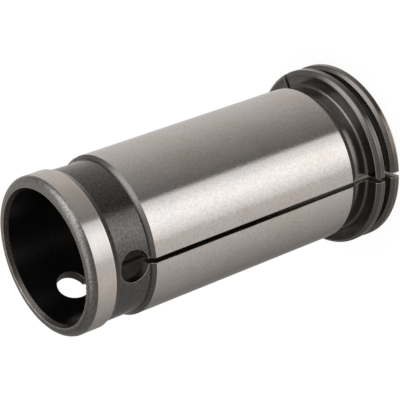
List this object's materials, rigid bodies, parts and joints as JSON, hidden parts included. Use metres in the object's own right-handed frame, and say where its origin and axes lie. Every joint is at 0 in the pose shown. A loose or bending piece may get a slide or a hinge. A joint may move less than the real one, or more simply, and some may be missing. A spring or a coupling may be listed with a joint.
{
  "type": "milling chuck reduction collet",
  "caption": "Straight slotted reduction collet that clamps a smaller tool shank in a milling chuck, with a ground body, radial relief holes and a grooved flange.",
  "frame": {"origin": "centre of the flange's front face, on the sleeve axis, at the bottom of the part as it stands", "axes": "+Z along the sleeve axis from the flange's front face to the open rear end; one of the three slots faces -Y"},
  "size_m": [0.037, 0.037, 0.074],
  "materials": {
    "sleeve_steel": "fine ground bright steel on the clamping body and rear land, satin black oxide on the neck, undercut, flange, rear rim and bore"
  },
  "bodies": {
    "root": {"collet_sleeve": "sleeve_steel"}
  },
  "joints": []
}
